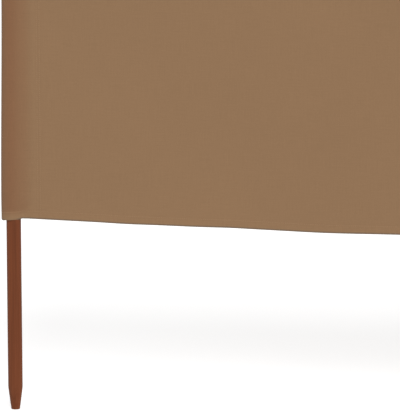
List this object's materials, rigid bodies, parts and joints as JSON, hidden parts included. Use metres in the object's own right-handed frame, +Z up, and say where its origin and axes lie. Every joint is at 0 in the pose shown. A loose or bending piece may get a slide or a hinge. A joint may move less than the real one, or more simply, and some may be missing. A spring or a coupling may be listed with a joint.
{
  "type": "beach windbreak",
  "caption": "Long cloth screen in bays between round wooden stakes, standing in a zigzag, with the stakes in sewn pockets and their blunt tips bare below.",
  "frame": {"origin": "centre of the first post's flat tip", "axes": "+X along the row, -Y towards the front of the cloth, +Z up along the posts"},
  "size_m": [3.8056, 0.4965, 1.2],
  "materials": {
    "cloth": "plain woven taupe cloth, matt",
    "wood": "dark red-brown hardwood, oiled, satin"
  },
  "bodies": {
    "root": {"post_1": "wood", "post_2": "wood", "post_3": "wood", "post_4": "wood", "panel_1": "cloth", "panel_2": "cloth", "panel_3": "cloth", "pocket_1": "cloth", "pocket_top_1": "cloth", "pocket_2": "cloth", "pocket_top_2": "cloth", "pocket_3": "cloth", "pocket_top_3": "cloth", "pocket_4": "cloth", "pocket_top_4": "cloth", "bottom_hem_1": "cloth", "top_hem_1": "cloth", "bottom_hem_2": "cloth", "top_hem_2": "cloth", "bottom_hem_3": "cloth", "top_hem_3": "cloth"}
  },
  "joints": []
}
